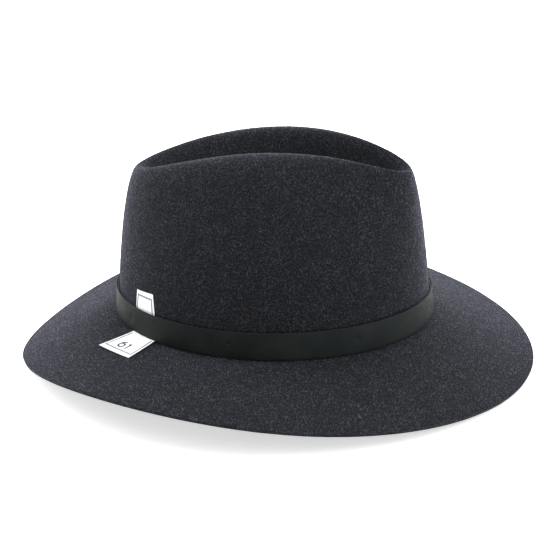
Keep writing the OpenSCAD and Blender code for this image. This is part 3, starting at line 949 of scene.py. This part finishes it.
def ribbon_bow(material):
    """Flat bow of narrow ribbon: two pinched loops and a knot wrapped round them."""
    low, high = (np.array(p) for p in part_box("sweatband_bow"))
    mid, half = (low + high) / 2, (high - low) / 2
    parts = []
    for side in (-1, 1):
        rows, faces = [], []
        for t in np.linspace(0, 1, BOW_ROWS):
            open_part = math.sin(math.pi * t)
            turn = 2 * math.pi * t
            y = side * (half[1] * (0.54 - 0.40 * math.cos(turn)))
            x = 0.85 * half[0] * math.sin(turn)
            width = half[2] * 0.86 * (0.5 + 0.5 * open_part**0.6)
            way = np.array([half[0] * math.cos(turn), side * half[1] * 0.4 * math.sin(turn), 0])
            face = unit(np.cross(way, [0, 0, 1]))
            pinch = (1 - open_part) * 0.35 * MM
            line = []
            for s in np.linspace(-1, 1, BOW_COLUMNS):
                fold = face * pinch * math.cos(2.5 * math.pi * s)
                line.append(mid + [x, y, width * s - 0.5 * MM * open_part] + fold)
            rows.append(line)
            faces.append([face] * BOW_COLUMNS)
        parts.append(card_sheet("bow_part", rows, BOW_T, faces))
    rows, faces = [], []
    for t in np.linspace(0.02, 0.98, BOW_ROWS):
        turn = 2 * math.pi * t
        ring = np.array([half[0] * 0.95 * math.cos(turn), 0, half[2] * math.sin(turn)])
        face = unit(np.array([math.cos(turn) / half[0], 0, math.sin(turn) / half[2]]))
        width = 1.5 * MM * (1 + 0.25 * abs(math.sin(turn)))
        line = []
        for s in np.linspace(-1, 1, BOW_COLUMNS):
            rib = face * 0.12 * MM * math.cos(3 * math.pi * s)
            line.append(mid + ring + rib + [0, width * s, 0])
        rows.append(line)
        faces.append([face] * BOW_COLUMNS)
    parts.append(card_sheet("bow_part", rows, BOW_T, faces))
    bm = bmesh.new()
    for part in parts:
        bm.from_mesh(part.data)
        bpy.data.objects.remove(part)
    bmesh.ops.recalc_face_normals(bm, faces=bm.faces)
    bow = subdivided(from_bmesh("ribbon_bow", bm), 1)
    return finish_piece(bow, material, replaces=["sweatband_bow"])


# ---- Build -------------------------------------------------------------------


def build_hat():
    felt = felt_piece(wool_felt())
    felt_nap(felt)
    thread = thread_material("black_thread", (8, 8, 9), (26, 26, 29))
    grey_thread = thread_material("grey_thread", (52, 50, 48), (96, 93, 90))
    tape = cloth("cloth_tape", (18, 18, 20), (46, 46, 50), 0.55 * MM)
    ribbon = cloth("ribbon", (14, 14, 16), (44, 44, 50), 0.45 * MM, 0.5, 0.3)
    lining = satin("lining_satin", (66, 66, 76), (108, 108, 122))
    card = card_stock()
    border_ink = ink("border_ink", (112, 121, 123), (140, 148, 150))
    digit_ink = ink("digit_ink", (34, 38, 40), (64, 68, 70))
    hat_band(band_leather())
    sweatband(sweat_leather())
    lining_side(lining)
    lining_tip(lining)
    wavy_piece("lining_piping", "satin_piping", lining, 2, 0.12 * MM, 3 * MM, 80)
    wavy_piece("reed_tape", "reed_tape_cloth", tape, 2, 0.1 * MM, 9 * MM)
    wavy_piece("sweatband_seam_tape", "seam_tape_cloth", tape, 2, 0.08 * MM, 6 * MM)
    wavy_piece("sweatband_reed", "reed", reed_plastic(), 2, 0.03 * MM, 20 * MM, 80)
    label = satin("label_satin", (206, 204, 198), (228, 226, 220))
    wavy_piece("care_label", "satin_label", label, 3, 0.12 * MM, 7 * MM)
    ribbon_bow(ribbon)
    ticket_tab(card, border_ink)
    ticket_flap(card, border_ink, digit_ink)
    stitches("band_join_stitches", "band_join_thread", "hat_band", thread)
    stitches("band_tack_stitches", "band_tack_thread", "hat_band", thread, lower=0.75 * MM)
    stitches("sweatband_seam_thread", "seam_zigzag_thread", "sweatband", grey_thread)
    stitches("sweatband_stitches", "sweatband_thread", "sweatband", grey_thread)
    stitches("lining_tacks", "lining_tack_thread", "lining_side", grey_thread)


# ---- Camera, light and floor -------------------------------------------------

FILM_WIDTH = 36
LENS = 81.1
SHIFT_X = 0.01244
SHIFT_Y = 0.04142
CAMERA_AWAY = 905.1 * MM
CAMERA_HIGH = math.radians(22.2)
CAMERA_ROUND = math.radians(16.5)
CAMERA_ROLL = math.radians(1.915)
FLOOR_HALF = 60
FLOOR_GLOW = 0.6
WORLD_LIGHT = 0.75
AIM = (0, 0, 0.06)


def add_camera():
    target = np.array([0, 0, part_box("hat_band")[0].z + 0.8 * MM])
    right = np.array([math.cos(CAMERA_ROUND), math.sin(CAMERA_ROUND), 0])
    level = np.array([math.sin(CAMERA_ROUND), -math.cos(CAMERA_ROUND), 0])
    back = level * math.cos(CAMERA_HIGH) + np.array([0, 0, math.sin(CAMERA_HIGH)])
    up = np.cross(back, right)
    x_axis = math.cos(CAMERA_ROLL) * right - math.sin(CAMERA_ROLL) * up
    y_axis = math.sin(CAMERA_ROLL) * right + math.cos(CAMERA_ROLL) * up
    data = bpy.data.cameras.new("camera")
    data.sensor_width = FILM_WIDTH
    data.lens = LENS
    data.shift_x = SHIFT_X
    data.shift_y = SHIFT_Y
    camera = bpy.data.objects.new("camera", data)
    bpy.context.scene.collection.objects.link(camera)
    turn = Matrix([Vector(x_axis), Vector(y_axis), Vector(back)]).transposed()
    camera.matrix_world = Matrix.Translation(Vector(target + CAMERA_AWAY * back)) @ turn.to_4x4()
    bpy.context.scene.camera = camera


def area_light(name, place, size, power):
    data = bpy.data.lights.new(name, "AREA")
    data.shape = "RECTANGLE"
    data.size, data.size_y = size
    data.energy = power
    light = bpy.data.objects.new(name, data)
    bpy.context.scene.collection.objects.link(light)
    light.location = place
    light.rotation_euler = (Vector(AIM) - Vector(place)).to_track_quat("-Z", "Y").to_euler()


def add_floor():
    """Pale floor that can be looked through from below."""
    mesh = bpy.data.meshes.new("floor")
    corners = [(-1, -1), (1, -1), (1, 1), (-1, 1)]
    mesh.from_pydata([(x * FLOOR_HALF, y * FLOOR_HALF, 0) for x, y in corners], [], [(0, 1, 2, 3)])
    floor = new_object("floor", mesh)
    paint = Shader("floor_paint", roughness=0.9, specular=0.1)
    grain = paint.noise(0.4, detail=2)
    paint.set("Base Color", paint.mix(grain, linear(246, 246, 247), linear(250, 250, 250)))
    paint.set("Emission Color", linear(250, 250, 250))
    paint.set("Emission Strength", FLOOR_GLOW)
    clear = paint.node("ShaderNodeBsdfTransparent").outputs[0]
    below = paint.node("ShaderNodeNewGeometry").outputs["Backfacing"]
    blend = paint.node("ShaderNodeMixShader")
    paint.feed(blend.inputs[0], below)
    paint.feed(blend.inputs[1], paint.surface.outputs[0])
    paint.feed(blend.inputs[2], clear)
    paint.feed(paint.tree.nodes["Material Output"].inputs["Surface"], blend.outputs[0])
    floor.data.materials.append(paint.material)


def add_light():
    world = bpy.data.worlds.new("studio")
    world.use_nodes = True
    sky = world.node_tree.nodes["Background"]
    sky.inputs["Color"].default_value = (1, 1, 1, 1)
    sky.inputs["Strength"].default_value = WORLD_LIGHT
    bpy.context.scene.world = world
    area_light("back_panel", (0.2, 1.5, 1.0), (2.2, 1.2), 26)
    area_light("left_panel", (-1.5, 0.2, 0.9), (1.2, 1.4), 18)
    area_light("right_panel", (1.5, 0.0, 0.9), (1.2, 1.4), 12)
    area_light("top_panel", (0.0, 0.3, 1.7), (1.6, 1.6), 22)
    bpy.context.scene.view_settings.view_transform = "Standard"


build_hat()
add_camera()
add_floor()
add_light()
